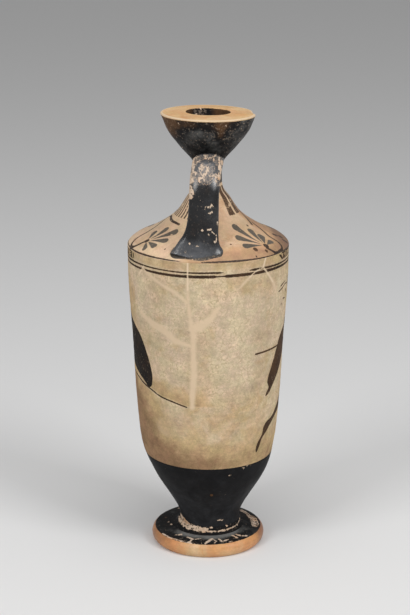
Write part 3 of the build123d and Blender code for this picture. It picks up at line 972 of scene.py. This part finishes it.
# tone below zero toward the bottom: a painted sheen lightening the taper where it faces down into shade
body.fill(ALL, ink=COVERED, wear=-0.02,
          tone=-0.06 - 0.22 * falls(body.z, 28, 46) + 1.1 * falls(from_spot, 0.5, 1.4))
rub_stem(body)
taper_chips = [
    [(31.5, 55.2, 0.3), (33.5, 54.2, 0.2)], [(36, 55.4, 0.25), (40, 55.3, 0.2)],
    [(19, 51.1, 0.2), (21, 50.9, 0.2)]]
taper_arc = border_radius * math.pi / 180
for course in taper_chips:
    body.chip(trail(body.azimuth * taper_arc, body.z, unrolled(course, taper_arc)))
make_piece("body_taper", body, "body", taper_gloss)

# White ground: the coat of pale slip on the wall
white_section = chain(wall_curve, wall_curve[::-9] - (slip_thickness, 0))
white = turned(white_section, wall_columns, True, lean=1.0)
paint_wall(white, np.arange(len(white.z)) < len(wall_curve) * wall_columns)
make_piece("white_ground_coat", white, "white_ground", white_slip)

# Shoulder: the painted cone, with its lip inside the wall
lip_inside = lip_radius - lip_thickness
inner_cone = between((lip_inside, shoulder_level), (socket_radius, neck_level - spigot_length),
                     shoulder_shares, 40, upright, collar_slope)
shoulder_section = chain(shoulder_curve, straight(collar, (socket_radius, neck_level), 4), inner_cone[::-1],
                         (lip_inside, shoulder_low[2]), (lip_radius, shoulder_low[2]),
                         straight((lip_radius, shoulder_level), corner, 5)[:-1])
shoulder = turned(shoulder_section, wall_columns, True)
paint_shoulder(shoulder, np.arange(len(shoulder.z)) < len(shoulder_curve) * wall_columns)
make_piece("shoulder_cone", shoulder, "shoulder", terracotta)

# Neck: black above, bare with tongues below
neck_black_level = 211
neck_section = chain(straight((spigot_radius, neck_low[2]), (spigot_radius, neck_level), 4), neck_curve,
                     straight((spigot_radius, mouth_level), (spigot_radius, neck_high[2]), 4),
                     straight((bore_radius, neck_high[2]), (bore_radius, neck_low[2]), 12))
neck = turned(neck_section, neck_columns, True)
brush = Brush(len(neck.z), dense_black)
paint_tongues(brush, neck.azimuth, neck.radius, neck.z)
brush.put(neck.z - neck_black_level, dense_black)
neck.fill(ALL, ink=np.where(neck.radius > socket_radius, brush.ink, FAR), tone=brush.tone, wear=0.18)
make_piece("neck_tube", neck, "neck", terracotta)

# Mouth: a black cup with a bare, flat top, paler along its edge, partly worn, partly a painted highlight, and
# chipped on the right
opening = spline([(mouth_opening_radius + 0.9, opening_level - 0.06),
                  (mouth_opening_radius + 0.2, opening_level - 0.3),
                  (mouth_opening_radius - 0.1, opening_level - 1.0)], 8)
edge = spline([(mouth_radius - 0.3, rim_level - 0.8), (mouth_radius - 0.1, rim_level - 0.3),
               (mouth_radius - 0.35, rim_level + 0.1), (mouth_radius - 1.2, rim_level + 0.25)], 12)
below = mouth_curve[mouth_curve[:, 1] < rim_level - 1.1]
funnel = funnel_curve[funnel_curve[:, 1] < opening_level - 1.4][::-1]
mouth_section = chain(below, edge, straight(edge[-1], opening[0], 26)[1:], opening[1:], funnel,
                      (bore_radius, seat_level), (socket_radius, seat_level),
                      straight((socket_radius, mouth_level), cup, 3)[:-1])
mouth = turned(mouth_section, mouth_columns, True)
top = (mouth.z > rim_level - 2) & (mouth.radius > mouth_opening_radius)
rim_edge = np.maximum(rim_level - 0.75 - mouth.z, mouth_opening_radius + 0.15 - mouth.radius)
# pale filler colour round the rim's edge: partly wear, partly a painted highlight
rim_wear_and_highlight = (rises(mouth.radius, mouth_radius - 1.9, mouth_radius - 0.8)
               * rises(mouth.z, rim_level - 1, rim_level))
hollow = (mouth.radius < mouth_opening_radius + 0.3) & (mouth.z > mouth_level + 5)
hollow_tone = 0.15 + 0.85 * near(mouth.azimuth, 20, 130, 165)
hollow_wear = 0.08 + 0.26 * near(mouth.azimuth, -155, 12, 30)
left_top = flank(-mouth.azimuth, 25, 80) * rises(mouth.z, 230, 243)
brown_patch = np.exp(-((mouth.azimuth - 17) / 7) ** 2) * rises(mouth.z, 236, 242)
under_rim = rises(mouth.z, 242, 246) * (1 - flank(mouth.azimuth, 25, 45))
outer_tone = -0.2 + 1.3 * left_top + 0.9 * brown_patch + 0.5 * under_rim
outer_wear = 0.14 + 0.05 * rises(mouth.z, 232, 240) + 0.04 * flank(mouth.azimuth, -10, 50)
rim_chip = np.exp(-((mouth.azimuth - 98) / 11) ** 2 - ((mouth.radius - mouth_radius) / 2.2) ** 2
                  - ((mouth.z - rim_level) / 1.6) ** 2)
mouth.fill(ALL, ink=np.where(top, rim_edge, COVERED), stain=0.28, mend=-3 + 5 * rim_wear_and_highlight,
           tone=np.where(hollow, hollow_tone, outer_tone), wear=np.where(hollow, hollow_wear, outer_wear))
mouth.fill(rim_chip > 0.35, ink=-2)
mouth.points[:, 0] -= rim_chip_depth * rim_chip * waves(mouth.azimuth, 1)
mouth.points[:, 1] += rim_chip_depth * rim_chip * waves(mouth.azimuth, 1, 90)
mouth.points[:, 2] -= rim_chip_fall * rim_chip + mouth_lean * mouth.x * rises(mouth.z, mouth_level, rim_level)
make_piece("mouth_cup", mouth, "mouth", black_gloss)


# Handle: a strap lofted along its middle line, spread on the shoulder and seated on the neck
def unit(vectors):
    """Vectors of length one."""
    return vectors / np.maximum(np.linalg.norm(vectors, axis=-1), 1e-6)[..., None]


def slope_level(radius):
    """Level of the shoulder's slope at a radius."""
    return np.interp(-radius, -shoulder_curve[:, 0], shoulder_curve[:, 1])


share = np.linspace(handle_start, handle_end, stations)
fine = spline(handle_path, 1200)
travelled = np.concatenate([[0], np.cumsum(np.linalg.norm(np.diff(fine, axis=0), axis=1))])
strap_length = travelled[-1]
middle = np.stack([np.interp(share * strap_length, travelled, fine[:, k]) for k in range(3)], 1)
forward = unit(np.gradient(middle, axis=0))
sideways = unit(np.cross(forward, np.cross((1, 0, 0), forward)))
outward = np.cross(sideways, forward)
width_run = 60
widths = spline([(a * width_run, b) for a, b in handle_widths], 400)
half_width = np.interp(share * width_run, widths[:, 0], widths[:, 1]) / 2
angle = np.arange(around) * 2 * np.pi / around
across, deep = [np.sign(side) * np.abs(side) ** (2 / handle_squareness)
                for side in (np.cos(angle), np.sin(angle))]
strap = (middle[:, None] + sideways[:, None] * (half_width[:, None] * across)[..., None]
         + outward[:, None] * (handle_thickness / 2 * deep)[None, :, None])

clear = strap[..., 2] - slope_level(np.hypot(strap[..., 0], strap[..., 1]))
lower_part = share[:, None] > handle_lower_part
spread = np.where(lower_part, root_spread * (1 - np.clip(clear / root_reach, 0, 1)) ** 2, 0)
heading = strap - middle[:, None]
heading[..., 2] = 0
strap += unit(heading) * spread[..., None]
radius = np.hypot(strap[..., 0], strap[..., 1])
seated = np.maximum(strap[..., 2], slope_level(radius) - seat_depth)
strap[..., 2] = np.where(lower_part, seated, strap[..., 2])
above_collar = np.concatenate([neck_curve, mouth_curve])
neck_at = np.interp(strap[..., 2], above_collar[:, 1], above_collar[:, 0]) - seat_depth
pushed = np.where(lower_part, 1, np.maximum(1, neck_at / np.maximum(radius, 0.1)))
strap[..., :2] *= pushed[..., None]
handle = Surface(np.concatenate([strap.reshape(-1, 3), [strap[0].mean(0), strap[-1].mean(0)]]),
                 woven(stations, around, False) + capped(stations, around))


def paint_handle(surface, share, across, deep):
    """Black gloss, rubbed along the arch's top, chipped on the strap, left off the inner face, with a painted
    sheen.
    """
    half = handle_thickness * 1.1
    chips = [
        [(0.62, 0.32, 0.4), (0.607, 0.54, 0.6)], [(0.618, 0.11, 0.35), (0.632, 0.12, 0.3)],
        [(0.657, 0.36, 0.3), (0.649, 0.54, 0.45)], [(0.772, 0.33, 0.3), (0.764, 0.52, 0.4)],
        [(0.784, 0.62, 0.2), (0.803, 0.84, 0.2), (0.832, 0.86, 0.2), (0.848, 0.76, 0.45)],
        [(0.8, 0.4, 0.2), (0.815, 0.45, 0.15)], [(0.715, 0.91, 0.2), (0.747, 0.92, 0.2)],
        [(0.779, 0, 0.45), (0.781, 0, 0.45)], [(0.952, 0.65, 0.4), (0.943, 0.73, 0.4)],
        [(0.884, -0.5, 0.3), (0.887, -0.47, 0.3)], [(0.897, -0.22, 0.1), (0.892, -0.02, 0.2)]]
    rubbed_side = [(0.475, -1.1), (0.485, -0.86), (0.512, -0.74), (0.545, -0.68), (0.562, -0.8), (0.57, -1.1)]
    kept_arc = [
        (0.386, -0.65, 0.6), (0.356, -0.59, 0.6), (0.321, -0.33, 0.6), (0.311, 0.07, 0.6), (0.328, 0.43, 0.6),
        (0.356, 0.75, 0.6), (0.386, 0.78, 0.6)]
    bare_spots = [
        [(0.407, 0, 0.5), (0.377, 0.18, 0.5)], [(0.36, -0.26, 0.5), (0.366, -0.2, 0.5)],
        [(0.446, 0.02, 0.5), (0.452, 0.06, 0.5)], [(0.29, 0.85, 0.7), (0.395, 0.88, 0.7)],
        [(0.27, -0.9, 0.8), (0.36, -0.93, 0.8), (0.46, -0.9, 0.8)]]

    def placed(course):
        return [(part * strap_length, side * half, *size) for part, side, *size in course]

    u, v = share * strap_length, across * half
    bare = region(u, v, placed(rubbed_side))
    for course in chips:
        bare = np.maximum(bare, trail(u, v, placed(course)))
    arch = near(share, 0.36, 0.09, 0.15)
    # toward the root more flecks, partly chipping, partly a painted highlight
    wear = 0.10 + 0.32 * arch + 0.09 * rises(share, 0.90, 0.97)
    wear -= 0.2 * rises(trail(u, v, placed(kept_arc)), -0.9, 0.4)
    for course in bare_spots:
        wear += 0.16 * rises(trail(u, v, placed(course)), -0.9, 0.4)
    inner_face = rises(deep - 0.25 - 0.12 * np.sin(share * 43), -0.1, 0.1)
    inner_face *= rises(share, 0.06, 0.09) * falls(share, 0.90, 0.93)
    # tone below zero: a grey painted sheen on the root, and on the arch partly painted sheen, partly gloss
    # worn thin
    surface.fill(ALL, ink=COVERED - 2 * COVERED * inner_face, stain=0.3, wear=wear,
                 bare=np.where(deep < 0.1, bare, FAR),
                 tone=-0.05 - 0.75 * arch - 0.75 * rises(share, 0.82, 0.93))


paint_handle(handle, np.append(np.repeat(share, around), (0, 1)),
             np.append(np.tile(across, stations), (0, 0)), np.append(np.tile(deep, stations), (0, 0)))
make_piece("handle_strap", handle, "handle", handle_gloss)


# Studio: a pale floor, soft light from both sides and above, and a view of the handle's side
floor_size = 16.0
floor_colour = (0.80, 0.80, 0.80, 1)
sky_strength = 0.34
aim = np.array([-1.736, 0, 138.8]) * MM
lamps = (("left", (-0.85, -0.90, 1.05), 0.55, 7.6), ("right", (0.92, -0.82, 1.05), 0.55, 9.0),
         ("above", (0.05, -0.35, 1.35), 0.8, 4.2))
tilt = math.radians(16.1)
distance = 0.9603

scene = bpy.context.scene
scene.view_settings.view_transform = "Standard"

bpy.ops.mesh.primitive_plane_add(size=floor_size, location=(0, 0, 0))
floor = bpy.context.object
floor.name = "floor"
paper = bpy.data.materials.new("floor_paper")
paper.use_nodes = True
for socket, value in (("Base Color", floor_colour), ("Roughness", 0.9), ("Specular IOR Level", 0.1)):
    paper.node_tree.nodes["Principled BSDF"].inputs[socket].default_value = value
floor.data.materials.append(paper)

world = bpy.data.worlds.new("studio")
scene.world = world
world.use_nodes = True
for socket, value in (("Color", (1, 1, 1, 1)), ("Strength", sky_strength)):
    world.node_tree.nodes["Background"].inputs[socket].default_value = value

for name, place, size, power in lamps:
    lamp = bpy.data.lights.new(name, "AREA")
    lamp.size = size
    lamp.energy = power
    light = bpy.data.objects.new(name, lamp)
    scene.collection.objects.link(light)
    light.location = place
    away = np.array(place) - aim
    light.rotation_euler = (math.atan2(math.hypot(away[0], away[1]), away[2]), 0,
                            math.atan2(away[1], away[0]) + math.pi / 2)

lens = bpy.data.cameras.new("photo_view")
lens.lens = 100
lens.sensor_width = 36
lens.clip_end = 50
view = bpy.data.objects.new("photo_view", lens)
scene.collection.objects.link(view)
view.location = aim + distance * np.array([0, -math.cos(tilt), math.sin(tilt)])
view.rotation_euler = (math.pi / 2 - tilt, 0, 0)
scene.camera = view
